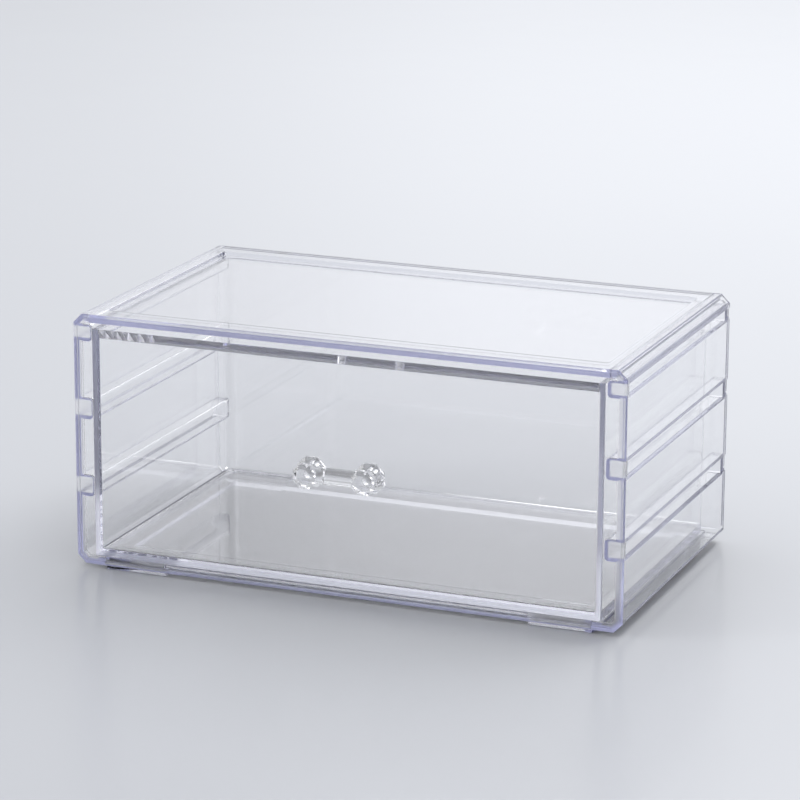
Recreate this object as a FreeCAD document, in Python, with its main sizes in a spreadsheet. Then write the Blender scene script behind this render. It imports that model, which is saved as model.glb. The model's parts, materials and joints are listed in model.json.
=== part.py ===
"""Clear desktop organizer: a snapped-together case with one pull-out drawer.

The case is five moulded panels (two sides, top, bottom, back). The drawer is a one-piece tub with a
separate handle pegged into its front. All lengths are millimetres.

Every body is drawn in the case's own frame: X runs across the case and is 0 at its middle, Y is 0 at
the front rim and grows towards the back, and Z is 0 on the underside of the case. One placement then
puts the feet on the ground plane and the whole object over the origin.
"""
import FreeCAD, Part
import os
import re
import Sketcher

DRIVING_SIZES = [
    # name, value, meaning
    ("case_width", 240.0, "outside width of the case"),
    ("case_depth", 137.0, "front rim to back face"),
    ("case_height", 107.5, "underside to top rim, without the feet"),
    ("panel_wall", 2.0, "wall of the side panels"),
    ("corner_cut", 3.8, "45 degree cut along the four long corners"),
    ("front_bevel", 1.0, "bevel round the outside of the front rim"),
    ("rim_step", 0.8, "how far the rim stands in front of the flange"),
    ("flange_width", 3.4, "flange inside the rim, from the outside face"),
    ("flange_depth", 3.0, "front rim to the back of the flange"),
    ("joint_gap", 0.1, "gap between neighbouring case panels"),
    ("groove_height", 6.8, "drawer rail, height of the groove outside"),
    ("top_groove_height", 4.8, "the same for the rail under the top"),
    ("rail_wall", 1.1, "wall of the rails"),
    ("rail_reach", 8.2, "outside face to the inner face of a rail"),
    ("rail_round", 1.6, "rounding of a rail's inner edges"),
    ("groove_round", 0.8, "rounding of the corners at the bottom of a groove"),
    ("first_groove", 30.5, "underside to the lowest groove"),
    ("top_rail_gap", 1.2, "top rail to the top panel's tongue"),
    ("top_return", 7.0, "side panel's turn onto the top, from the outside"),
    ("bottom_return", 13.0, "side panel's turn under the bottom"),
    ("tongue_width", 4.0, "bottom panel's tongues over the side panels' returns"),
    ("tongue_thickness", 1.3, "tongues of the top and bottom panels"),
    ("top_thickness", 3.5, "border of the top panel"),
    ("recess_depth", 1.5, "tray recess in the top panel"),
    ("recess_side", 11.0, "case side to the recess"),
    ("recess_front", 10.5, "case front and back to the recess"),
    ("recess_corner", 1.5, "corner rounding of the recess"),
    ("bottom_thickness", 4.0, "border of the bottom panel"),
    ("bottom_plate", 2.0, "plate of the bottom panel inside its border"),
    ("bottom_border", 6.0, "width of that border"),
    ("slot_height", 1.5, "shadow slot in the bottom's front edge"),
    ("slot_depth", 2.6, "depth of that slot"),
    ("foot_height", 1.5, "feet below the underside"),
    ("foot_length", 27.0, "feet across the case"),
    ("foot_depth", 12.0, "feet front to back"),
    ("foot_inset", 2.0, "case front and back to the feet"),
    ("back_wall", 2.2, "back panel"),
    ("lug_length", 6.0, "lugs of the back panel, along the grooves"),
    ("lug_inset", 0.4, "outside face to the lug ends"),
    ("side_clearance", 0.7, "drawer to rail, each side"),
    ("slide_gap", 0.3, "drawer to bottom panel"),
    ("top_clearance", 2.2, "drawer to top panel"),
    ("back_clearance", 1.5, "drawer to back panel"),
    ("drawer_front_wall", 3.0, "front wall of the drawer"),
    ("drawer_side_wall", 2.5, "side walls of the drawer"),
    ("drawer_back_wall", 2.2, "back wall of the drawer"),
    ("drawer_floor", 2.5, "floor of the drawer"),
    ("drawer_back_round", 6.0, "outside rounding of the drawer's back corners"),
    ("drawer_floor_round", 1.2, "rounding where the drawer's walls meet its floor"),
    ("lip_height", 4.2, "slope behind the top edge of the drawer front"),
    ("lip_depth", 2.5, "how much that slope thins the front"),
    ("handle_reach", 10.5, "drawer front to the faces of the knobs"),
    ("knob_spacing", 25.4, "knob centre to knob centre"),
    ("handle_drop", 0.8, "handle centre below the middle of the drawer front"),
    ("knob_base", 6.2, "centre to flat of the base flange"),
    ("knob_waist", 4.0, "centre to flat between flange and head"),
    ("knob_head", 5.0, "centre to flat of the head"),
    ("knob_face", 3.5, "centre to flat of the front face"),
    ("bar_radius", 3.6, "round bar between the knobs"),
    ("bar_height", 4.8, "drawer front to the bar's axis"),
    ("peg_radius", 2.0, "pegs through the drawer front"),
    ("peg_clearance", 0.05, "peg to hole, on the radius"),
    ("peg_tail", 0.8, "peg beyond the inner face"),
]

doc = FreeCAD.newDocument("desk_organizer")


# ---------------------------------------------------------------------------- sizes and expressions

def make_sheet():
    """Put each driving size in a cell of its own, with its name as the alias."""
    made = doc.addObject("Spreadsheet::Sheet", "Sizes")
    for row, (name, value, meaning) in enumerate(DRIVING_SIZES, start=1):
        made.set(f"A{row}", name)
        made.set(f"B{row}", str(value))
        made.set(f"C{row}", meaning)
        made.setAlias(f"B{row}", name)
    doc.recompute()
    return made


sheet = make_sheet()
SIZE_NAME = re.compile(r"[a-z_]+")


def bound(text):
    """Turn size names into references to the sheet: case_width becomes Sizes.case_width."""
    return SIZE_NAME.sub(lambda found: "Sizes." + found.group(0), text)


def value(text):
    """The present value of an expression in size names, in millimetres."""
    return float(sheet.evalExpression(bound(text)))


# Places that several bodies share, as expressions in the driving sizes.
HALF_WIDTH = "(case_width / 2)"
BEVEL_SHIFT = "0.41421356"    # tangent of 22.5 degrees: a 45 degree corner seen from a parallel offset
REAR_STOP = "(case_depth - back_wall - joint_gap)"
DRAWER_HALF = "(case_width / 2 - rail_reach - side_clearance)"
DRAWER_BOTTOM = "(bottom_thickness + slide_gap)"
DRAWER_TOP = "(case_height - top_thickness - top_clearance)"
DRAWER_DEPTH = "(case_depth - back_wall - back_clearance)"
HANDLE_HEIGHT = f"(({DRAWER_BOTTOM} + {DRAWER_TOP}) / 2 - handle_drop)"
TOP_TONGUE = "(case_height - panel_wall - tongue_thickness)"
TOP_GROOVE = f"({TOP_TONGUE} - top_rail_gap - rail_wall - top_groove_height)"
GROOVES = [
    ("first_groove", "groove_height"),
    (f"((first_groove + {TOP_GROOVE}) / 2)", "groove_height"),
    (TOP_GROOVE, "top_groove_height"),
]


# ---------------------------------------------------------------------------- sketch and feature kit

def make_body(label):
    """A body for one moulded piece, placed so that the object stands on the origin."""
    body = doc.addObject("PartDesign::Body", label)
    body.Label = label
    body.setExpression("Placement.Base.y", bound("-(case_depth - handle_reach) / 2"))
    body.setExpression("Placement.Base.z", bound("foot_height"))
    return body


def start_sketch(body, name, plane, level="0"):
    """A sketch on one of the body's own planes, moved along the plane's normal to a level."""
    sketch = body.newObject("Sketcher::SketchObject", f"{body.Name}_{name}")
    origin_plane = [item for item in body.Origin.OriginFeatures if item.Role == plane][0]
    sketch.AttachmentSupport = [(origin_plane, "")]
    sketch.MapMode = "FlatFace"
    along_normal = f"-({level})" if plane == "XZ_Plane" else level
    sketch.setExpression("AttachmentOffset.Base.z", bound(along_normal))
    return sketch


def pin_point(sketch, shape, vertex, across, up):
    """Hold one sketch point at a place given by two expressions."""
    for kind, text in (("DistanceX", across), ("DistanceY", up)):
        index = sketch.addConstraint(Sketcher.Constraint(kind, -1, 1, shape, vertex, value(text)))
        sketch.setExpression(f"Constraints[{index}]", bound(text))


def draw_polygon(sketch, corners):
    """A closed outline through corners that are pairs of expressions."""
    points = [FreeCAD.Vector(value(across), value(up), 0) for across, up in corners]
    first = sketch.GeometryCount
    for number, point in enumerate(points):
        following = points[(number + 1) % len(points)]
        sketch.addGeometry(Part.LineSegment(point, following), False)
    for number, (across, up) in enumerate(corners):
        after = first + (number + 1) % len(corners)
        sketch.addConstraint(Sketcher.Constraint("Coincident", first + number, 2, after, 1))
        pin_point(sketch, first + number, 1, across, up)


def draw_circle(sketch, across, up, radius):
    """A circle whose centre and radius are expressions."""
    centre = FreeCAD.Vector(value(across), value(up), 0)
    up_axis = FreeCAD.Vector(0, 0, 1)
    shape = sketch.addGeometry(Part.Circle(centre, up_axis, value(radius)), False)
    pin_point(sketch, shape, 3, across, up)
    index = sketch.addConstraint(Sketcher.Constraint("Radius", shape, value(radius)))
    sketch.setExpression(f"Constraints[{index}]", bound(radius))


def rectangle(left, right, low, high):
    """The four corners of a rectangle."""
    return [(left, low), (right, low), (right, high), (left, high)]


def add_feature(body, kind, sketch, name, length, reverse=False, both_ways=False):
    """A pad or pocket of a sketch, with its length bound to an expression."""
    feature = body.newObject(f"PartDesign::{kind}", f"{body.Name}_{name}")
    feature.Profile = sketch
    feature.setExpression("Length", bound(length))
    feature.Reversed = reverse
    feature.Midplane = both_ways
    doc.recompute()
    return feature


def front_pad(body, name, outlines, start, length):
    """Outlines in the XZ plane, grown backwards from the level start."""
    sketch = start_sketch(body, f"{name}_outline", "XZ_Plane", start)
    for corners in outlines:
        draw_polygon(sketch, corners)
    return add_feature(body, "Pad", sketch, name, length, reverse=True)


def front_cut(body, name, outlines, start, length):
    """Outlines in the XZ plane, cut backwards from the level start."""
    sketch = start_sketch(body, f"{name}_outline", "XZ_Plane", start)
    for corners in outlines:
        draw_polygon(sketch, corners)
    return add_feature(body, "Pocket", sketch, name, length)


def flat_pad(body, name, outlines, start, length):
    """Outlines in the XY plane, grown upwards from the level start."""
    sketch = start_sketch(body, f"{name}_outline", "XY_Plane", start)
    for corners in outlines:
        draw_polygon(sketch, corners)
    return add_feature(body, "Pad", sketch, name, length)


def flat_cut(body, name, outlines, start, length):
    """Outlines in the XY plane, cut upwards from the level start."""
    sketch = start_sketch(body, f"{name}_outline", "XY_Plane", start)
    for corners in outlines:
        draw_polygon(sketch, corners)
    return add_feature(body, "Pocket", sketch, name, length, reverse=True)


def runs_along(edge, axis):
    """Whether a straight edge runs along the axis x, y or z."""
    start, end = [vertex.Point for vertex in edge.Vertexes]
    travel = end - start
    return same(abs(getattr(travel, axis)), travel.Length)


def dress_edges(body, kind, name, size, wanted, axis=None):
    """A fillet or chamfer on each edge of the tip whose ends pass the test, along one axis if given."""
    base = body.Tip
    names = []
    for number, edge in enumerate(base.Shape.Edges, start=1):
        if len(edge.Vertexes) != 2 or not all(wanted(vertex.Point) for vertex in edge.Vertexes):
            continue
        if axis is None or runs_along(edge, axis):
            names.append(f"Edge{number}")
    if not names:
        raise RuntimeError(f"{body.Label} has no edge for {name}")
    feature = body.newObject(f"PartDesign::{kind}", f"{body.Name}_{name}")
    feature.Base = (base, names)
    feature.setExpression("Radius" if kind == "Fillet" else "Size", bound(size))
    doc.recompute()
    return feature


def same(one, other):
    """Two lengths agree to within a hundredth of a millimetre."""
    return abs(one - other) < 0.01


# ---------------------------------------------------------------------------- the case

def wrap_outline(side, thickness):
    """A side panel's section: the wall, its two corner cuts and its returns, of one thickness."""
    inner_cut = f"(corner_cut + {BEVEL_SHIFT} * {thickness})"
    inwards_up = [
        ("bottom_return", "0"),
        ("corner_cut", "0"),
        ("0", "corner_cut"),
        ("0", "case_height - corner_cut"),
        ("corner_cut", "case_height"),
        ("top_return", "case_height"),
        ("top_return", f"case_height - {thickness}"),
        (inner_cut, f"case_height - {thickness}"),
        (thickness, f"case_height - {inner_cut}"),
        (thickness, inner_cut),
        (inner_cut, thickness),
        ("bottom_return", thickness),
    ]
    return [(f"{side} * ({HALF_WIDTH} - {inwards})", up) for inwards, up in inwards_up]


def across_side(side, near, far, low, high):
    """A rectangle in a side panel's section, from its distances to the outside face."""
    return rectangle(f"{side} * ({HALF_WIDTH} - {near})", f"{side} * ({HALF_WIDTH} - {far})", low, high)


def on_outline(point, side):
    """Whether a point lies on the outside of a side panel's wall, corner cuts or returns."""
    inwards = value(HALF_WIDTH) - side * point.x
    height = value("case_height")
    cut = value("corner_cut")
    flat = same(inwards, 0) or same(point.z, 0) or same(point.z, height)
    return flat or same(inwards + point.z, cut) or same(inwards + height - point.z, cut)


def make_side_panel(label, side):
    """One side: a wrapped wall with three hollow drawer rails pressed inwards."""
    body = make_body(label)
    front_pad(body, "wall", [wrap_outline(side, "panel_wall")], "0", "case_depth")
    front_pad(body, "flange", [wrap_outline(side, "flange_width")], "rim_step", "flange_depth - rim_step")
    rails = []
    grooves = []
    for low, height in GROOVES:
        top = f"({low} + {height})"
        rails.append(across_side(side, "panel_wall / 2", "rail_reach", f"{low} - rail_wall",
                                 f"{top} + rail_wall"))
        grooves.append(across_side(side, "(-1)", "(rail_reach - rail_wall)", low, top))
    front_pad(body, "rails", rails, "rim_step", f"{REAR_STOP} - rim_step")
    front_cut(body, "grooves", grooves, "flange_depth", "case_depth")
    inner = value(HALF_WIDTH) - value("rail_reach")
    dress_edges(body, "Fillet", "rail_edges", "rail_round",
                lambda point: same(side * point.x, inner), axis="y")
    groove_floor = inner + value("rail_wall")
    dress_edges(body, "Fillet", "groove_corners", "groove_round",
                lambda point: same(side * point.x, groove_floor), axis="y")
    dress_edges(body, "Chamfer", "front_edge", "front_bevel",
                lambda point: same(point.y, 0) and on_outline(point, side))
    return body


def add_tongues(body, near, far, low):
    """Two tongues along the returns of the side panels, from near to far of the case's outside."""
    tongues = [across_side(side, near, far, low, f"{low} + tongue_thickness") for side in (1, -1)]
    front_pad(body, "tongues", tongues, "(flange_depth + joint_gap)",
              f"{REAR_STOP} - flange_depth - joint_gap")


def make_top_panel():
    """The top: a border level with the side panels round a shallow tray recess."""
    body = make_body("top_panel")
    half = f"({HALF_WIDTH} - top_return - joint_gap)"
    underside = "(case_height - top_thickness)"
    front_pad(body, "slab", [rectangle(f"-{half}", half, underside, "case_height")], "0", "case_depth")
    add_tongues(body, f"(corner_cut + {BEVEL_SHIFT} * panel_wall + joint_gap)",
                "(top_return + 2 * joint_gap)", TOP_TONGUE)
    recess_half = f"({HALF_WIDTH} - recess_side)"
    recess = rectangle(f"-{recess_half}", recess_half, "recess_front", "case_depth - recess_front")
    flat_cut(body, "recess", [recess], "case_height - recess_depth", "recess_depth + 1")
    dress_edges(body, "Fillet", "recess_corners", "recess_corner",
                lambda point: same(abs(point.x), value(recess_half)), axis="z")
    step = rectangle(f"-{half} - 1", f"{half} + 1", f"{underside} - 1", "case_height - panel_wall")
    front_cut(body, "rim_step", [step], "0", "rim_step")
    dress_edges(body, "Chamfer", "front_edge", "front_bevel",
                lambda point: same(point.y, 0) and same(point.z, value("case_height")))
    return body


def foot_outlines():
    """The four feet, each starting where a side panel's return ends."""
    outer = f"({HALF_WIDTH} - bottom_return)"
    feet = []
    for side in (1, -1):
        for front, back in (("foot_inset", "foot_inset + foot_depth"),
                            ("case_depth - foot_inset - foot_depth", "case_depth - foot_inset")):
            feet.append(rectangle(f"{side} * {outer}", f"{side} * ({outer} - foot_length)", front, back))
    return feet


def make_bottom_panel():
    """The bottom: a plate in a deeper border, with four feet and a shadow slot along the front."""
    body = make_body("bottom_panel")
    half = f"({HALF_WIDTH} - bottom_return - joint_gap)"
    front_pad(body, "slab", [rectangle(f"-{half}", half, "0", "bottom_thickness")], "0", "case_depth")
    add_tongues(body, "(bottom_return - tongue_width)", "(bottom_return + 2 * joint_gap)", "panel_wall")
    inner = f"({half} - bottom_border)"
    hollow = rectangle(f"-{inner}", inner, "foot_inset + foot_depth + bottom_border / 2",
                       "case_depth - foot_inset - foot_depth - bottom_border / 2")
    flat_cut(body, "hollow", [hollow], "-1", "bottom_thickness - bottom_plate + 1")
    step = rectangle(f"-{half} - 1", f"{half} + 1", "panel_wall", "bottom_thickness + 1")
    front_cut(body, "rim_step", [step], "0", "rim_step")
    slot_half = f"({HALF_WIDTH} - bottom_return - foot_length)"
    slot = rectangle(f"-{slot_half}", slot_half, "panel_wall", "panel_wall + slot_height")
    front_cut(body, "front_slot", [slot], "0", "slot_depth")
    dress_edges(body, "Chamfer", "front_edge", "front_bevel",
                lambda point: same(point.y, 0) and same(point.z, 0))
    flat_pad(body, "feet", foot_outlines(), "-foot_height", "foot_height + panel_wall / 2")
    return body


def make_back_panel():
    """The back: a plate between the other four panels, with lugs that plug into the six grooves."""
    body = make_body("back_panel")
    half = f"({HALF_WIDTH} - panel_wall - joint_gap)"
    low = "(bottom_thickness + joint_gap)"
    high = "(case_height - top_thickness - joint_gap)"
    cut = "(corner_cut / 2)"
    outline = [
        (f"-{half} + {cut}", low),
        (f"{half} - {cut}", low),
        (half, f"{low} + {cut}"),
        (half, f"{high} - {cut}"),
        (f"{half} - {cut}", high),
        (f"-{half} + {cut}", high),
        (f"-{half}", f"{high} - {cut}"),
        (f"-{half}", f"{low} + {cut}"),
    ]
    front_pad(body, "plate", [outline], "case_depth - back_wall", "back_wall")
    lugs = []
    for side in (1, -1):
        for groove_low, height in GROOVES:
            lugs.append(across_side(side, "lug_inset", "(rail_reach - rail_wall - joint_gap)",
                                    f"{groove_low} + joint_gap", f"{groove_low} + {height} - joint_gap"))
    front_pad(body, "lugs", lugs, "case_depth - lug_length", "lug_length")
    lug_end = value(f"({HALF_WIDTH} - rail_reach + rail_wall + joint_gap)")
    dress_edges(body, "Fillet", "lug_corners", "groove_round",
                lambda point: same(abs(point.x), lug_end), axis="y")
    return body


# ---------------------------------------------------------------------------- the drawer

def make_drawer_tub():
    """The drawer: a one-piece tub whose front fills the case opening."""
    body = make_body("drawer_tub")
    outer = rectangle(f"-{DRAWER_HALF}", DRAWER_HALF, "0", DRAWER_DEPTH)
    flat_pad(body, "block", [outer], DRAWER_BOTTOM, f"{DRAWER_TOP} - {DRAWER_BOTTOM}")
    dress_edges(body, "Fillet", "back_corners", "drawer_back_round",
                lambda point: same(point.y, value(DRAWER_DEPTH)), axis="z")
    inner_half = f"({DRAWER_HALF} - drawer_side_wall)"
    inner_back = f"({DRAWER_DEPTH} - drawer_back_wall)"
    inner = rectangle(f"-{inner_half}", inner_half, "drawer_front_wall", inner_back)
    floor = f"({DRAWER_BOTTOM} + drawer_floor)"
    flat_cut(body, "hollow", [inner], floor, f"{DRAWER_TOP} - {floor} + 1")
    dress_edges(body, "Fillet", "inner_back_corners", "drawer_back_round - drawer_side_wall",
                lambda point: same(point.y, value(inner_back)), axis="z")
    cut_front_slope(body, inner_half)
    dress_edges(body, "Fillet", "floor_edges", "drawer_floor_round",
                lambda point: same(point.z, value(floor)))
    sketch = start_sketch(body, "peg_holes_outline", "XZ_Plane", "-1")
    for side in (1, -1):
        draw_circle(sketch, f"{side} * knob_spacing / 2", HANDLE_HEIGHT, "peg_radius + peg_clearance")
    add_feature(body, "Pocket", sketch, "peg_holes", "drawer_front_wall + 2")
    return body


def cut_front_slope(body, inner_half):
    """The slope that thins the front wall towards its top edge, between the side walls."""
    sketch = start_sketch(body, "slope_outline", "YZ_Plane")
    draw_polygon(sketch, [
        ("drawer_front_wall", f"{DRAWER_TOP} - lip_height"),
        ("drawer_front_wall + 1", f"{DRAWER_TOP} - lip_height"),
        ("drawer_front_wall + 1", f"{DRAWER_TOP} + 1"),
        ("drawer_front_wall - lip_depth", f"{DRAWER_TOP} + 1"),
        ("drawer_front_wall - lip_depth", DRAWER_TOP),
    ])
    add_feature(body, "Pocket", sketch, "slope", f"2 * {inner_half}", both_ways=True)


def octagon(centre, height, flat):
    """An octagon with level and upright flats, from its centre to flat distance."""
    half_side = f"{BEVEL_SHIFT} * {flat}"
    turns = [
        (flat, half_side), (half_side, flat), (f"-{half_side}", flat), (f"-{flat}", half_side),
        (f"-{flat}", f"-{half_side}"), (f"-{half_side}", f"-{flat}"), (half_side, f"-{flat}"),
        (flat, f"-{half_side}"),
    ]
    return [(f"{centre} + ({across})", f"{height} + ({up})") for across, up in turns]


def add_knob(body, name, centre):
    """A faceted knob: base flange, narrower waist, then a wider head with a bevelled face."""
    profile = [
        ("0", "knob_base"),
        ("0.12 * handle_reach", "knob_base"),
        ("0.36 * handle_reach", "knob_waist"),
        ("0.52 * handle_reach", "knob_waist"),
        ("0.66 * handle_reach", "knob_head"),
        ("0.84 * handle_reach", "knob_head"),
        ("handle_reach", "knob_face"),
    ]
    sections = []
    for number, (forward, flat) in enumerate(profile):
        sketch = start_sketch(body, f"{name}_section_{number}", "XZ_Plane", f"-({forward})")
        draw_polygon(sketch, octagon(centre, HANDLE_HEIGHT, flat))
        sections.append(sketch)
    loft = body.newObject("PartDesign::AdditiveLoft", f"{body.Name}_{name}")
    loft.Profile = sections[0]
    loft.Sections = sections[1:]
    loft.Ruled = True
    doc.recompute()


def make_handle():
    """The handle: two faceted knobs, the round bar between them and two pegs, moulded in one."""
    body = make_body("drawer_handle")
    bar = start_sketch(body, "bar_outline", "YZ_Plane")
    draw_circle(bar, "-bar_height", HANDLE_HEIGHT, "bar_radius")
    add_feature(body, "Pad", bar, "bar", "knob_spacing", both_ways=True)
    for name, side in (("right_knob", 1), ("left_knob", -1)):
        add_knob(body, name, f"({side} * knob_spacing / 2)")
    pegs = start_sketch(body, "pegs_outline", "XZ_Plane", "-1")
    for side in (1, -1):
        draw_circle(pegs, f"{side} * knob_spacing / 2", HANDLE_HEIGHT, "peg_radius")
    add_feature(body, "Pad", pegs, "pegs", "1 + drawer_front_wall + peg_tail", reverse=True)
    return body


# ---------------------------------------------------------------------------- checks and export

def check_document():
    """Stop if any object failed, or if a pocket took nothing away."""
    for item in doc.Objects:
        if "Invalid" in item.State or "Error" in item.State:
            raise RuntimeError(f"{item.Name} failed: {item.State}")
        if item.TypeId == "PartDesign::Pocket":
            removed = item.BaseFeature.Shape.Volume - item.Shape.Volume
            if removed < 0.5:
                raise RuntimeError(f"{item.Name} cuts nothing")


def export(bodies):
    """Write each piece as its own STEP file, after testing its solid."""
    os.makedirs("parts", exist_ok=True)
    for body in bodies:
        shape = body.Shape
        if shape.isNull() or not shape.isValid() or len(shape.Solids) != 1:
            raise RuntimeError(f"{body.Label} is not one valid solid")
        shape.exportStep(f"parts/{body.Label}.step")
        print(f"{body.Label}: {shape.Volume / 1000:.1f} cm3")


pieces = [
    make_side_panel("left_side_panel", -1),
    make_side_panel("right_side_panel", 1),
    make_top_panel(),
    make_bottom_panel(),
    make_back_panel(),
    make_drawer_tub(),
    make_handle(),
]
doc.recompute()
check_document()
export(pieces)
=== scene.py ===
# %% [markdown]
# # A clear desktop drawer box
# The real object is a small box of hard, clear plastic. Five moulded panels snap together into a
# case, and one drawer with a faceted handle slides in it.
# The design comes in finished from the CAD model, so nothing here decides where a part is. The
# script does what CAD leaves open: it rounds the edges as a mould does, gives the plastic its depth
# and tint, builds the handle's facets, and lights it all in a small studio.

import json
import math

import bmesh
import bpy
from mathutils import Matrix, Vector


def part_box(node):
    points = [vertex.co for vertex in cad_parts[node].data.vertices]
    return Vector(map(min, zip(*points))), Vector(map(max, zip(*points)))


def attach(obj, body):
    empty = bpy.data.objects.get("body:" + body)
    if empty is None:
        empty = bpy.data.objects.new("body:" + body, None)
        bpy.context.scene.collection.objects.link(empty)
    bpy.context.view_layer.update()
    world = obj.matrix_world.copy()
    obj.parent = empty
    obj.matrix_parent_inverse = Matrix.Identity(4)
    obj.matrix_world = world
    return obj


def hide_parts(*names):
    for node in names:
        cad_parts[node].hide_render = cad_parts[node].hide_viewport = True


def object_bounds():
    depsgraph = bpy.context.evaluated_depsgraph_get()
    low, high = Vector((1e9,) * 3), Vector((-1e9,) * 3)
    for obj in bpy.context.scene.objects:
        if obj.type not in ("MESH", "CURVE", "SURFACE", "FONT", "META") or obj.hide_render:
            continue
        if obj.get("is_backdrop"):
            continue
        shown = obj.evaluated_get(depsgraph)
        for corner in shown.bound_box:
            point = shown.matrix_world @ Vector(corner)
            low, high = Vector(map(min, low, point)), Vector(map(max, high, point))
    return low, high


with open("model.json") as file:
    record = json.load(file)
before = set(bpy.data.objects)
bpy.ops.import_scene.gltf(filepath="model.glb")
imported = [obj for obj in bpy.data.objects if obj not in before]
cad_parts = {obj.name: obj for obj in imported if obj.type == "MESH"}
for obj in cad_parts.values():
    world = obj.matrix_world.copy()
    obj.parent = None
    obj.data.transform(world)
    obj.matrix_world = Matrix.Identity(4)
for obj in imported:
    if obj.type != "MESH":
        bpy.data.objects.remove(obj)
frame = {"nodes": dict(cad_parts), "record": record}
cad_box = [list(corner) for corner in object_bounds()]
MM = 0.001
low_corner, high_corner = (Vector(corner) for corner in cad_box)
box_middle = (low_corner + high_corner) / 2
CASE_PANELS = frame["record"]["behaviour"]["bodies"]["case"]
print("case panels:", CASE_PANELS)
print("size in mm:", [round(value / MM, 1) for value in high_corner - low_corner])

# %% [markdown]
# ## The camera
# A small box for a desk is shown through a long lens from a step away, so that its upright edges
# stay nearly parallel. The camera stands to the right of the front and looks slightly down.
# A camera could be typed in as a position and three rotations. Here it is given as two angles, a
# distance and a small offset of the aim, because each of these can be judged and changed alone.

# %% Camera
CAMERA_AZIMUTH = math.radians(21.8)
CAMERA_ELEVATION = math.radians(15.4)
CAMERA_DISTANCE = 1.524
CAMERA_ROLL = math.radians(0.27)
AIM_OFFSET = Vector((-1.4, 3.4, 13.3)) * MM
LENS = 163.9
SENSOR_WIDTH = 36.0
NEAR_CLIP = 0.05
FAR_CLIP = 30.0


def place_camera():
    """A long-lens camera that looks at the box from its two angles."""
    data = bpy.data.cameras.new("studio_camera")
    data.lens = LENS
    data.sensor_width = SENSOR_WIDTH
    data.clip_start = NEAR_CLIP
    data.clip_end = FAR_CLIP
    camera = bpy.data.objects.new("studio_camera", data)
    bpy.context.scene.collection.objects.link(camera)
    level = math.cos(CAMERA_ELEVATION)
    away = Vector((math.sin(CAMERA_AZIMUTH) * level, -math.cos(CAMERA_AZIMUTH) * level,
                   math.sin(CAMERA_ELEVATION)))
    camera.location = box_middle + AIM_OFFSET + away * CAMERA_DISTANCE
    camera.rotation_euler = (-away).to_track_quat("-Z", "Y").to_euler()
    camera.rotation_euler.rotate_axis("Z", CAMERA_ROLL)
    bpy.context.scene.camera = camera
    return camera


studio_camera = place_camera()
print("camera at", [round(value, 3) for value in studio_camera.location])

# %% [markdown]
# ## Small tools for node trees
# A node tree built in code soon drowns in lines that add nodes and join sockets. Three short helpers
# keep the trees below readable. One adds a node and fills its inputs, whether with a number or with
# another node's output. One gives a smooth step between two values, and one does plain arithmetic.

# %% Node helpers
def add_node(tree, kind, inputs=None, **settings):
    """Add a node; inputs maps a socket's name or number to a value or to another socket."""
    node = tree.nodes.new(kind)
    for name, value in settings.items():
        setattr(node, name, value)
    for key, value in (inputs or {}).items():
        if isinstance(value, bpy.types.NodeSocket):
            tree.links.new(value, node.inputs[key])
        else:
            node.inputs[key].default_value = value
    return node


def smooth_step(tree, value, start, end, low, high):
    """A value that goes smoothly from low to high while the input goes from start to end."""
    node = add_node(tree, "ShaderNodeMapRange", {"Value": value}, interpolation_type="SMOOTHSTEP")
    for name, number in (("From Min", start), ("From Max", end), ("To Min", low), ("To Max", high)):
        node.inputs[name].default_value = number
    return node.outputs["Result"]


def calculate(tree, operation, first, second=0.0):
    """One Math node's result."""
    return add_node(tree, "ShaderNodeMath", {0: first, 1: second}, operation=operation).outputs["Value"]


print("node helpers:", add_node.__name__, smooth_step.__name__, calculate.__name__)

# %% [markdown]
# ## A satin frame
# On the real box the narrow frame round the drawer's clear window, where the moulds part, is satin.
# It spreads the light that the walls pipe to it into one even band. It could be a material of its own
# on a strip of faces. As a mask on the piece's own coordinates it fades out softly instead, needs no
# cut in the mesh, and slides with the drawer.

# %% The satin frame
DRAWER_LOW, DRAWER_HIGH = (Vector(corner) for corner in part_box("drawer_tub"))
WINDOW_INSET = 2.2 * MM
CLEAR_SIDE = DRAWER_HIGH.x - WINDOW_INSET
CLEAR_LOW = DRAWER_LOW.z + WINDOW_INSET
CLEAR_HIGH = DRAWER_HIGH.z
SATIN_DEPTH = 1.0 * MM
SATIN_FADE = 0.4 * MM


def satin_nodes(tree, place, satin, front_plane):
    """Satin close to a front plane, but only outside the drawer's clear window."""
    split = add_node(tree, "ShaderNodeSeparateXYZ", {"Vector": place}).outputs
    depth = front_plane + SATIN_DEPTH
    front = smooth_step(tree, split["Y"], depth, depth + SATIN_FADE, satin, 0.0)
    sideways = calculate(tree, "ABSOLUTE", split["X"])
    beside = smooth_step(tree, sideways, CLEAR_SIDE - SATIN_FADE, CLEAR_SIDE, 0.0, 1.0)
    under = smooth_step(tree, split["Z"], CLEAR_LOW, CLEAR_LOW + SATIN_FADE, 1.0, 0.0)
    over = smooth_step(tree, split["Z"], CLEAR_HIGH, CLEAR_HIGH + SATIN_FADE, 0.0, 1.0)
    frame_mask = calculate(tree, "MAXIMUM", beside, calculate(tree, "MAXIMUM", under, over))
    return calculate(tree, "MULTIPLY", front, frame_mask)


print("clear window in mm:", round(2 * CLEAR_SIDE / MM, 1), round((CLEAR_HIGH - CLEAR_LOW) / MM, 1))

# %% [markdown]
# ## Clear moulded plastic
# Clear polystyrene looks like nothing when it is thin, and faintly lavender where light travels far
# inside it: along walls and out of their edges. A tinted surface can't do that, because it would
# colour thin and thick places alike. Absorption in the volume does it by itself.
# The surface is polished, but not perfectly. The mould leaves long, very shallow waves, and the
# plastic has a trace of haze. Both come from noise on the piece's own coordinates.

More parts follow.
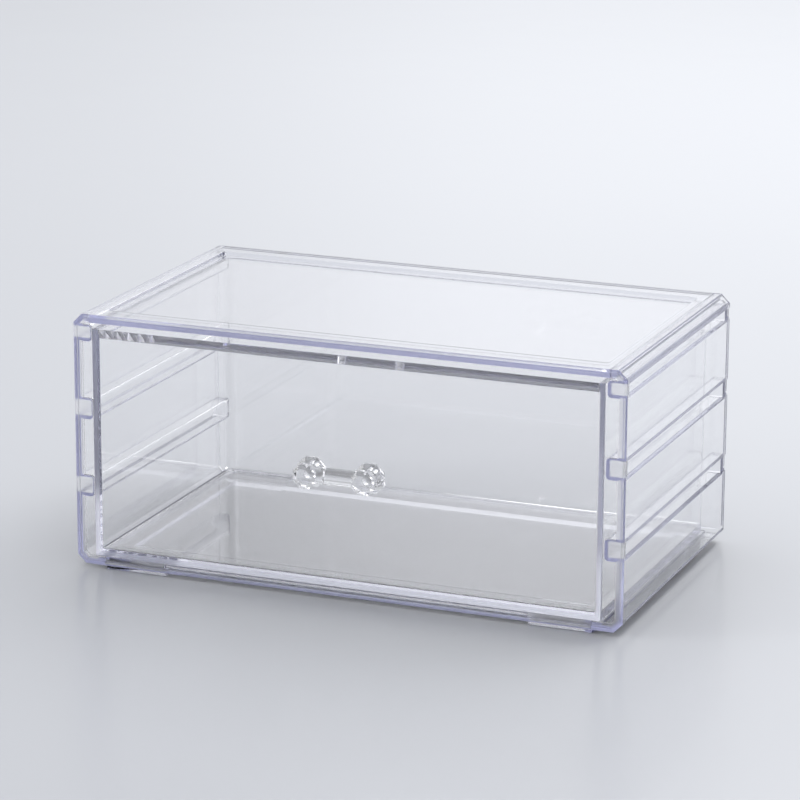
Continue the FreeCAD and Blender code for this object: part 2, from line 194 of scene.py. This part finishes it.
# %% Plastic material
WAVE_SCALE = 22.0
WAVE_DETAIL = 1.5
HAZE_SCALE = 60.0
HAZE_DETAIL = 4.0
HAZE_RAMP = (0.35, 0.7)
MOULD_GRAIN_SCALE = 900.0
GRAIN_FINENESS = 60
PLASTIC_IOR = 1.55
WHITE = (1.0, 1.0, 1.0, 1.0)


def haze_nodes(tree, place, haze, satin, front_plane):
    """Roughness: a trace of cloudy haze, and more on the satin frame."""
    cloud = add_node(tree, "ShaderNodeTexNoise", {
        "Vector": place, "Scale": HAZE_SCALE, "Detail": HAZE_DETAIL})
    amount = smooth_step(tree, cloud.outputs["Fac"], *HAZE_RAMP, 0.0, haze)
    return calculate(tree, "ADD", amount, satin_nodes(tree, place, satin, front_plane))


def wave_nodes(tree, place, wave_height):
    """Bump: the long waves of a moulded wall, and the finest grain of the mould's steel."""
    waves = add_node(tree, "ShaderNodeTexNoise", {
        "Vector": place, "Scale": WAVE_SCALE, "Detail": WAVE_DETAIL})
    long_bump = add_node(tree, "ShaderNodeBump", {
        "Height": waves.outputs["Fac"], "Distance": wave_height})
    grain = add_node(tree, "ShaderNodeTexNoise", {"Vector": place, "Scale": MOULD_GRAIN_SCALE})
    fine_bump = add_node(tree, "ShaderNodeBump", {
        "Height": grain.outputs["Fac"], "Distance": wave_height / GRAIN_FINENESS,
        "Normal": long_bump.outputs["Normal"]})
    return fine_bump.outputs["Normal"]


def make_plastic(name, tint, density, haze, wave_height, satin=0.0, front_plane=0.0):
    """Clear plastic with a tinted volume, a trace of haze and moulding waves."""
    material = bpy.data.materials.new(name)
    material.use_nodes = True
    tree = material.node_tree
    shader = tree.nodes["Principled BSDF"]
    shader.inputs["Base Color"].default_value = WHITE
    shader.inputs["Transmission Weight"].default_value = 1.0
    shader.inputs["IOR"].default_value = PLASTIC_IOR
    place = add_node(tree, "ShaderNodeTexCoord").outputs["Object"]
    tree.links.new(haze_nodes(tree, place, haze, satin, front_plane), shader.inputs["Roughness"])
    tree.links.new(wave_nodes(tree, place, wave_height), shader.inputs["Normal"])
    volume = add_node(tree, "ShaderNodeVolumeAbsorption", {
        "Color": (*tint, 1.0), "Density": density})
    tree.links.new(volume.outputs["Volume"], tree.nodes["Material Output"].inputs["Volume"])
    print("made", name)
    return material


# %% [markdown]
# ## Three finishes of one plastic
# Case, drawer and handle are moulded from the same plastic in three tools. The case and the drawer
# share the satin frame, and the drawer is a little clearer. The handle is small and thick, with
# sharp optical facets, so its waves are much shallower and its tint hardly shows.

# %% The plastics
LAVENDER = (0.48, 0.49, 0.70)
PALE_LAVENDER = (0.7, 0.7, 0.8)
SATIN = 0.32
RIM_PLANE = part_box("left_side_panel")[0][1]
case_plastic = make_plastic("clear_case_plastic", LAVENDER, density=13.0, haze=0.02,
                            wave_height=0.03 * MM, satin=SATIN, front_plane=RIM_PLANE)
drawer_plastic = make_plastic("clear_drawer_plastic", LAVENDER, density=2.6, haze=0.02,
                              wave_height=0.03 * MM, satin=SATIN, front_plane=DRAWER_LOW.y)
handle_plastic = make_plastic("clear_handle_plastic", PALE_LAVENDER, density=3.0, haze=0.01,
                              wave_height=0.004 * MM)
print("drawer front behind the rim, in mm:", round((DRAWER_LOW.y - RIM_PLANE) / MM, 2))
PLASTICS = {"clear_case": case_plastic, "clear_drawer": drawer_plastic, "clear_handle": handle_plastic}

# %% [markdown]
# ## From CAD mesh to moulded part
# No mould makes a knife edge. The thin bright and dark lines that outline a clear box come from
# edges rounded by a few tenths of a millimetre, each one a tiny lens. They could be faked with a
# normal trick, but light bends at the real surface, so the rounding has to be real.
# The CAD mesh itself is left alone. A copy is welded and its flat faces are joined again, so that
# a Bevel modifier finds only true edges.

# %% Weld a mesh
WELD_DISTANCE = 0.002 * MM
FLAT_ANGLE = math.radians(1.0)


def weld(mesh):
    """Merge a mesh's loose triangles and join those that lie in one plane."""
    work = bmesh.new()
    work.from_mesh(mesh)
    bmesh.ops.remove_doubles(work, verts=work.verts, dist=WELD_DISTANCE)
    bmesh.ops.dissolve_limit(work, angle_limit=FLAT_ANGLE, verts=work.verts, edges=work.edges)
    work.to_mesh(mesh)
    work.free()


print("points closer than this are merged, in mm:", WELD_DISTANCE / MM)

# %% [markdown]
# ## A film of air
# Snapped parts touch in the design, but between two real mouldings there is always a film of air,
# and light sees it. Two touching surfaces at exactly the same place also confuse the renderer, which
# then loses count of what it is inside and turns the plastic black. Moving every point of a part
# two hundredths of a millimetre inwards gives both parts their own surface.

# %% Pull a mesh in
AIR_FILM = 0.02 * MM


def pull_in(mesh, distance):
    """Move each face inwards by a distance, with corners kept in line with their faces."""
    work = bmesh.new()
    work.from_mesh(mesh)
    bmesh.ops.recalc_face_normals(work, faces=work.faces)
    work.normal_update()
    moves = [vertex.normal * vertex.calc_shell_factor() * distance for vertex in work.verts]
    for vertex, move in zip(work.verts, moves):
        vertex.co -= move
    work.to_mesh(mesh)
    work.free()


print("air film in mm:", AIR_FILM / MM)

# %% [markdown]
# ## Round the edges
# A Bevel modifier with an angle limit rounds every sharp edge at once, by one radius, and leaves the
# facets of curved CAD faces alone. Weighted normals then keep the big flat walls optically flat:
# without them, the shading of each wall would lean towards its rounded edges, and the view through
# it would bend. Both modifiers are turned into plain mesh at the end, so the piece is complete.

# %% Rounding
ROUND_SEGMENTS = 3
SHARP_ANGLE = math.radians(28.0)
FLAT_WEIGHT = 100


def round_edges(name, mesh, radius):
    """A new object whose mesh is the given one with its sharp edges rounded."""
    mesh.shade_smooth()
    piece = bpy.data.objects.new(name, mesh)
    bpy.context.scene.collection.objects.link(piece)
    bevel = piece.modifiers.new("rounding", "BEVEL")
    bevel.width = radius
    bevel.segments = ROUND_SEGMENTS
    bevel.limit_method = "ANGLE"
    bevel.angle_limit = SHARP_ANGLE
    flats = piece.modifiers.new("flats_stay_flat", "WEIGHTED_NORMAL")
    flats.mode = "FACE_AREA"
    flats.weight = FLAT_WEIGHT
    graph = bpy.context.evaluated_depsgraph_get()
    piece.data = bpy.data.meshes.new_from_object(piece.evaluated_get(graph))
    piece.data.name = name
    piece.modifiers.clear()
    return piece


print("each edge gets", ROUND_SEGMENTS, "segments")

# %% [markdown]
# ## Finish each piece
# A finished piece takes the place of a part of the design, which is then hidden. It rides on the body
# that carries it when the drawer slides, and it wears a plastic. Written out for each piece, one of
# the three is soon forgotten, so a single helper does them all.

# %% From mesh to finished piece
def finish_piece(piece, node, body, slot):
    """Give a piece its plastic, hide the CAD node it replaces, and parent it to the body that carries it.
    """
    piece.data.materials.clear()
    piece.data.materials.append(PLASTICS[slot])
    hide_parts(node)
    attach(piece, body)
    print(f"{piece.name}: {len(piece.data.polygons)} faces")


def mould_copy(node, name, radius, body, slot):
    """A moulded-looking copy of a CAD node."""
    mesh = frame["nodes"][node].data.copy()
    weld(mesh)
    pull_in(mesh, AIR_FILM)
    piece = round_edges(name, mesh, radius)
    finish_piece(piece, node, body, slot)


print("plastics to choose from:", list(PLASTICS))

# %% [markdown]
# ## The five case panels
# Two wrapped sides with three hollow drawer rails each, the top with its shallow tray, the bottom
# with its feet, and the back with the lugs that plug into the rails. They share one rounding, as
# moulds that are cut and polished in one workshop do.

# %% Case
PANEL_ROUNDING = 0.22 * MM
for panel in CASE_PANELS:
    mould_copy(panel, f"moulded_{panel}", PANEL_ROUNDING, "case", "clear_case")

# %% [markdown]
# ## The drawer
# One deep tub whose flat front fills the opening. On the real box a dark band runs behind the front's
# top edge. It could be painted grey, but nothing there is grey: a slope mirrors the shaded floor
# under the box by total reflection, as a prism does. So the band needs only the slope's right shape.

# %% Drawer tub
mould_copy("drawer_tub", "moulded_drawer_tub", PANEL_ROUNDING, "drawer", "clear_drawer")

# %% [markdown]
# ## The faceted handle
# The handle is two eight-sided knobs with a round bar between them, moulded in one with two pegs that
# pass through the drawer front. Each knob follows a rule: an octagon that changes size as it moves
# forward. So it suits Geometry Nodes: an eight-point circle swept along a short curve makes the
# facets, and each point of the curve sets the octagon's size. Modelling two knobs by hand would mean
# changing every facet twice.

# %% Handle sizes, in millimetres
HANDLE_SIZES = {
    "Reach": 10.5,
    "Base flat": 6.2,
    "Waist flat": 4.0,
    "Head flat": 5.0,
    "Face flat": 3.5,
    "Knob spacing": 25.4,
    "Bar radius": 3.6,
    "Bar height": 4.8,
    "Peg radius": 2.0,
    "Peg length": 3.8,
}
# How far forward each octagon stands, as a share of the reach, and which size it has.
KNOB_STATIONS = [(0.0, "Base flat"), (0.12, "Base flat"), (0.36, "Waist flat"), (0.52, "Waist flat"),
                 (0.66, "Head flat"), (0.84, "Head flat"), (1.0, "Face flat")]
OCTAGON = 8
HALF_SECTOR = math.pi / OCTAGON
ROUND_SIDES = 32
print("stations along a knob:", len(KNOB_STATIONS))

# %% [markdown]
# ## The knob's node tree
# Seven points are set out along the knob. An Index Switch hands each point its place and its size,
# and the points become a curve to sweep along. The circle's radius is one over the cosine of half a
# sector, so that the sizes measure to the flats, as a machinist would measure them.

# %% Knob tree
def switch_by_station(tree, values):
    """A number that depends on the point's index."""
    switch = tree.nodes.new("GeometryNodeIndexSwitch")
    switch.data_type = "FLOAT"
    while len(switch.index_switch_items) < len(values):
        switch.index_switch_items.new()
    index = add_node(tree, "GeometryNodeInputIndex")
    tree.links.new(index.outputs["Index"], switch.inputs[0])
    for number, value in enumerate(values, start=1):
        if isinstance(value, bpy.types.NodeSocket):
            tree.links.new(value, switch.inputs[number])
        else:
            switch.inputs[number].default_value = value
    return switch.outputs[0]


def sweep(tree, curve, profile, scale=1.0):
    """Sweep a profile along a curve, scaled at each point, with both ends closed."""
    node = add_node(tree, "GeometryNodeCurveToMesh", {
        "Curve": curve, "Profile Curve": profile, "Scale": scale, "Fill Caps": True})
    return node.outputs["Mesh"]


def knob_nodes(tree, sizes):
    """The lofted octagons of one knob, from the drawer front forwards."""
    share = switch_by_station(tree, [station for station, _ in KNOB_STATIONS])
    forward = calculate(tree, "MULTIPLY", share, sizes["Reach"])
    place = add_node(tree, "ShaderNodeCombineXYZ", {"Y": calculate(tree, "MULTIPLY", forward, -1.0)})
    points = add_node(tree, "GeometryNodePoints", {
        "Count": len(KNOB_STATIONS), "Position": place.outputs[0]})
    curve = add_node(tree, "GeometryNodePointsToCurves", {"Points": points.outputs[0]})
    flat = switch_by_station(tree, [sizes[name] for _, name in KNOB_STATIONS])
    circle = add_node(tree, "GeometryNodeCurvePrimitiveCircle", {
        "Resolution": OCTAGON, "Radius": 1 / math.cos(HALF_SECTOR)})
    turned = add_node(tree, "GeometryNodeTransform", {
        "Geometry": circle.outputs["Curve"], "Rotation": (0.0, 0.0, HALF_SECTOR)})
    return sweep(tree, curve.outputs[0], turned.outputs[0], flat)


def rod_nodes(tree, start, end, radius):
    """A round rod between two points."""
    line = add_node(tree, "GeometryNodeCurvePrimitiveLine", {"Start": start, "End": end})
    circle = add_node(tree, "GeometryNodeCurvePrimitiveCircle", {
        "Resolution": ROUND_SIDES, "Radius": radius})
    return sweep(tree, line.outputs["Curve"], circle.outputs["Curve"])


def unite(tree, *meshes):
    """One closed mesh from several that overlap."""
    node = tree.nodes.new("GeometryNodeMeshBoolean")
    node.operation = "UNION"
    node.solver = "EXACT"
    for mesh in meshes:
        tree.links.new(mesh, node.inputs["Mesh 2"])
    return node.outputs["Mesh"]


print("sides of a knob and of the bar:", OCTAGON, ROUND_SIDES)

# %% [markdown]
# ## The whole handle
# One knob with its peg is placed on two points, and the bar joins them. A Mesh Boolean unites all
# this, because a clear part with walls inside it would show every one of them. The tree's inputs are
# the handle's sizes and its place on the drawer, so another handle needs no new nodes.

# %% Handle tree
# The peg starts inside the knob, this far in front of the drawer, in millimetres.
PEG_START = 1.0


def new_handle_tree():
    """A node group with one named input for each size, and the place and plastic."""
    tree = bpy.data.node_groups.new("faceted_handle", "GeometryNodeTree")
    tree.interface.new_socket(name="Geometry", in_out="OUTPUT", socket_type="NodeSocketGeometry")
    kinds = [(name, "NodeSocketFloat") for name in HANDLE_SIZES]
    kinds += [("Place", "NodeSocketVector"), ("Plastic", "NodeSocketMaterial")]
    identifiers = {}
    for name, kind in kinds:
        socket = tree.interface.new_socket(name=name, in_out="INPUT", socket_type=kind)
        identifiers[name] = socket.identifier
    return tree, identifiers


def half_of(tree, size, sign):
    """A point on the X axis at half a size, to one side."""
    half = calculate(tree, "MULTIPLY", size, sign / 2)
    return add_node(tree, "ShaderNodeCombineXYZ", {"X": half}).outputs[0]


def build_handle_tree():
    """Knob and peg on two points, united with the bar."""
    tree, identifiers = new_handle_tree()
    sizes = tree.nodes.new("NodeGroupInput").outputs
    peg_end = add_node(tree, "ShaderNodeCombineXYZ", {"Y": sizes["Peg length"]}).outputs[0]
    peg = rod_nodes(tree, (0.0, -PEG_START * MM, 0.0), peg_end, sizes["Peg radius"])
    pegged_knob = unite(tree, knob_nodes(tree, sizes), peg)
    left, right = (half_of(tree, sizes["Knob spacing"], sign) for sign in (-1, 1))
    posts = add_node(tree, "GeometryNodeMeshLine", {
        "Count": 2, "Start Location": left, "Offset": right}, mode="END_POINTS")
    pair = add_node(tree, "GeometryNodeInstanceOnPoints", {
        "Points": posts.outputs[0], "Instance": pegged_knob})
    knobs = add_node(tree, "GeometryNodeRealizeInstances", {"Geometry": pair.outputs[0]}).outputs[0]
    bar = rod_nodes(tree, left, right, sizes["Bar radius"])
    lift = calculate(tree, "MULTIPLY", sizes["Bar height"], -1.0)
    ahead = add_node(tree, "ShaderNodeCombineXYZ", {"Y": lift}).outputs[0]
    bar_ahead = add_node(tree, "GeometryNodeTransform", {"Geometry": bar, "Translation": ahead})
    whole = unite(tree, knobs, bar_ahead.outputs[0])
    placed = add_node(tree, "GeometryNodeTransform", {"Geometry": whole, "Translation": sizes["Place"]})
    real = add_node(tree, "GeometryNodeRealizeInstances", {"Geometry": placed.outputs[0]}).outputs[0]
    clad = add_node(tree, "GeometryNodeSetMaterial", {"Geometry": real, "Material": sizes["Plastic"]})
    output = tree.nodes.new("NodeGroupOutput")
    tree.links.new(clad.outputs[0], output.inputs[0])
    return tree, identifiers


handle_tree, handle_inputs = build_handle_tree()
print("handle inputs:", list(handle_inputs))

# %% [markdown]
# ## Turn the handle into a plain mesh
# The modifier's inputs are filled first, then the result is taken from the evaluated object. The
# same welding, air film and rounding as for the panels follow, with a smaller radius, because
# the knobs' facets should stay crisp. The place comes from the CAD handle's own box.

# %% Handle
HANDLE_ROUNDING = 0.08 * MM


def handle_mesh():
    """The handle's united mesh, on the middle of the drawer front."""
    handle_low, handle_high = (Vector(corner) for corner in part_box("drawer_handle"))
    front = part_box("drawer_tub")[0][1]
    carrier = bpy.data.objects.new("handle_carrier", bpy.data.meshes.new("handle_carrier"))
    bpy.context.scene.collection.objects.link(carrier)
    modifier = carrier.modifiers.new("faceted_handle", "NODES")
    modifier.node_group = handle_tree
    for name, size in HANDLE_SIZES.items():
        modifier[handle_inputs[name]] = size * MM
    modifier[handle_inputs["Place"]] = ((handle_low.x + handle_high.x) / 2, front,
                                        (handle_low.z + handle_high.z) / 2)
    modifier[handle_inputs["Plastic"]] = handle_plastic
    graph = bpy.context.evaluated_depsgraph_get()
    mesh = bpy.data.meshes.new_from_object(carrier.evaluated_get(graph))
    bpy.data.objects.remove(carrier)
    return mesh


faceted_mesh = handle_mesh()
weld(faceted_mesh)
pull_in(faceted_mesh, AIR_FILM)
handle = round_edges("faceted_drawer_handle", faceted_mesh, HANDLE_ROUNDING)
finish_piece(handle, "drawer_handle", "drawer", "clear_handle")
print("handle spans in mm:", [round(length / MM, 2) for length in handle.dimensions])

# %% [markdown]
# ## The floor
# A clear object is made of what stands around it. A wide, pale, faintly glossy floor fills its walls
# with an even tone and gives it a soft mirror image to stand on. The floor is one plane, large
# enough that its far edge is out of sight.

# %% Floor
FLOOR_REACH = 6.0
FLOOR_COLOUR = (0.56, 0.57, 0.59)
FLOOR_WEAR_SCALE = 3.0
FLOOR_WEAR_DETAIL = 5.0
FLOOR_WEAR_RAMP = (0.3, 0.7)
FLOOR_ROUGHNESS = (0.2, 0.24)


def make_floor_material():
    """Pale satin surface whose gloss varies slightly from place to place."""
    material = bpy.data.materials.new("pale_floor")
    material.use_nodes = True
    tree = material.node_tree
    shader = tree.nodes["Principled BSDF"]
    shader.inputs["Base Color"].default_value = (*FLOOR_COLOUR, 1.0)
    place = add_node(tree, "ShaderNodeTexCoord").outputs["Object"]
    wear = add_node(tree, "ShaderNodeTexNoise", {
        "Vector": place, "Scale": FLOOR_WEAR_SCALE, "Detail": FLOOR_WEAR_DETAIL})
    roughness = smooth_step(tree, wear.outputs["Fac"], *FLOOR_WEAR_RAMP, *FLOOR_ROUGHNESS)
    tree.links.new(roughness, shader.inputs["Roughness"])
    return material


def make_floor():
    """One wide plane under the box."""
    work = bmesh.new()
    corners = [(-1, -1), (1, -1), (1, 1), (-1, 1)]
    work.faces.new([work.verts.new((x * FLOOR_REACH, y * FLOOR_REACH, 0.0)) for x, y in corners])
    mesh = bpy.data.meshes.new("studio_floor")
    work.to_mesh(mesh)
    work.free()
    mesh.materials.append(make_floor_material())
    floor = bpy.data.objects.new("studio_floor", mesh)
    bpy.context.scene.collection.objects.link(floor)
    floor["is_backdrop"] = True


make_floor()
print("floor reaches", FLOOR_REACH, "m to each side")

# %% [markdown]
# ## The room
# Bright surroundings make clear plastic look white, and dark ones draw its edges. The room has both.
# It could be built from walls and lamps. Here it is one smooth function of direction instead, so it
# needs no lamps and gives no noise.
# Its brightest part is a tall, soft window low behind the box, fading out to the left. Every level
# surface mirrors it.

# %% The window behind
# Each pair is where a smooth step starts and ends, along a direction of length one.
WINDOW_DEPTH = (0.3, 0.7)
WINDOW_SILL = (0.03, 0.18)
WINDOW_TOP = (0.4, 0.65)
WINDOW_LEFT_FADE = (-0.1, 0.04)
WINDOW_LEFT_SHARE = 0.35


def window_nodes(tree, x, y, z):
    """A soft window behind the box, from just above the horizon up, brighter to the right."""
    behind = smooth_step(tree, y, *WINDOW_DEPTH, 0.0, 1.0)
    above = smooth_step(tree, z, *WINDOW_SILL, 0.0, 1.0)
    below = smooth_step(tree, z, *WINDOW_TOP, 1.0, 0.0)
    view_side = calculate(tree, "ADD",
                          calculate(tree, "MULTIPLY", x, math.cos(CAMERA_AZIMUTH)),
                          calculate(tree, "MULTIPLY", y, math.sin(CAMERA_AZIMUTH)))
    right = smooth_step(tree, view_side, *WINDOW_LEFT_FADE, WINDOW_LEFT_SHARE, 1.0)
    return calculate(tree, "MULTIPLY", calculate(tree, "MULTIPLY", behind, right),
                     calculate(tree, "MULTIPLY", above, below))


print("left part of the window, as a share of the right:", WINDOW_LEFT_SHARE)

# %% [markdown]
# ## Walls, cards and ceiling
# A soft ceiling lights the floor under the box through the plastic. The side behind the camera is
# dim, and both far sides are darker still, like the black cards that stand beside a set for glass.
# These give the dark hairlines along the edges.

# %% The whole room
# Strengths are shares of full white. Pairs are smooth steps, as for the window.
ROOM_FRONT = 0.34
ROOM_BACK = 0.6
ROOM_TURN = (-0.8, 0.4)
CARD_EDGE = (0.75, 0.95)
CARD_DARKNESS = 0.88
CEILING_EDGE = (0.65, 0.92)
CEILING_STRENGTH = 1.15
WINDOW_STRENGTH = 0.5
ROOM_COLOUR = (0.94, 0.955, 1.0, 1.0)


def make_room():
    """Light from all round, as a smooth function of direction."""
    world = bpy.data.worlds.new("studio_room")
    world.use_nodes = True
    tree = world.node_tree
    direction = add_node(tree, "ShaderNodeTexCoord").outputs["Generated"]
    split = add_node(tree, "ShaderNodeSeparateXYZ", {"Vector": direction}).outputs
    x, y, z = split["X"], split["Y"], split["Z"]
    walls = smooth_step(tree, y, *ROOM_TURN, ROOM_FRONT, ROOM_BACK)
    sideways = calculate(tree, "ABSOLUTE", x)
    cards = smooth_step(tree, sideways, *CARD_EDGE, 1.0, 1.0 - CARD_DARKNESS)
    ceiling = calculate(tree, "MULTIPLY", smooth_step(tree, z, *CEILING_EDGE, 0.0, 1.0), CEILING_STRENGTH)
    window = calculate(tree, "MULTIPLY", window_nodes(tree, x, y, z), WINDOW_STRENGTH)
    strength = calculate(tree, "ADD", calculate(tree, "MULTIPLY", walls, cards),
                         calculate(tree, "ADD", ceiling, window))
    background = tree.nodes["Background"]
    background.inputs["Color"].default_value = ROOM_COLOUR
    tree.links.new(strength, background.inputs["Strength"])
    bpy.context.scene.world = world


make_room()
print("room strength in front and behind:", ROOM_FRONT, ROOM_BACK)

# %% [markdown]
# ## Two softboxes
# The room gives the tone, and two lamps give the accents. One hangs over the floor behind the box, so
# that the background is brightest there and falls off towards the camera. The other is a tall, narrow
# softbox on the left that runs as a thin white line down the rounded edges.

# %% Lamps
def add_softbox(name, place, aim, size, power):
    """A rectangular softbox that faces a point."""
    data = bpy.data.lights.new(name, "AREA")
    data.shape = "RECTANGLE"
    data.size, data.size_y = size
    data.energy = power
    lamp = bpy.data.objects.new(name, data)
    lamp.location = place
    lamp.rotation_euler = (Vector(aim) - Vector(place)).to_track_quat("-Z", "Y").to_euler()
    bpy.context.scene.collection.objects.link(lamp)
    print(f"{name}: {power} W")


add_softbox("background_softbox", place=(0.1, 1.1, 1.0), aim=(0.0, 1.0, 0.0),
            size=(1.6, 0.8), power=10.0)
add_softbox("left_softbox", place=(-1.1, -0.7, 0.7), aim=(0.0, 0.0, 0.05),
            size=(0.25, 0.9), power=3.0)

# %% [markdown]
# ## Many clear walls
# Light that enters a wall's edge runs along inside it and bounces fifty times or more before it gets
# out. With the usual limits those paths end in black. With enough bounces they end outside, tinted
# by the way they came, and the edges glow. The view transform is Standard, which keeps pale tones
# pale.

# %% Light paths and tone
PATH_LIMIT = 110
CLEAR_PATH_LIMIT = 24
cycles = bpy.context.scene.cycles
for limit in ("max_bounces", "transmission_bounces", "glossy_bounces"):
    setattr(cycles, limit, PATH_LIMIT)
cycles.transparent_max_bounces = CLEAR_PATH_LIMIT
bpy.context.scene.view_settings.view_transform = "Standard"
print("path limit:", cycles.max_bounces)

# %% [markdown]
# ## The finished size
# The last cell measures the finished look's box and prints how it differs from the design's box.
# Rounding and the air film make the look smaller by a few hundredths of a millimetre.

# %% Finish
visual_box = [list(corner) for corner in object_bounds()]
shrink = [round((design[axis] - look[axis]) / MM, 3) for design, look in zip(cad_box, visual_box)
          for axis in range(3)]
print("design box minus look's box, in mm:", shrink)
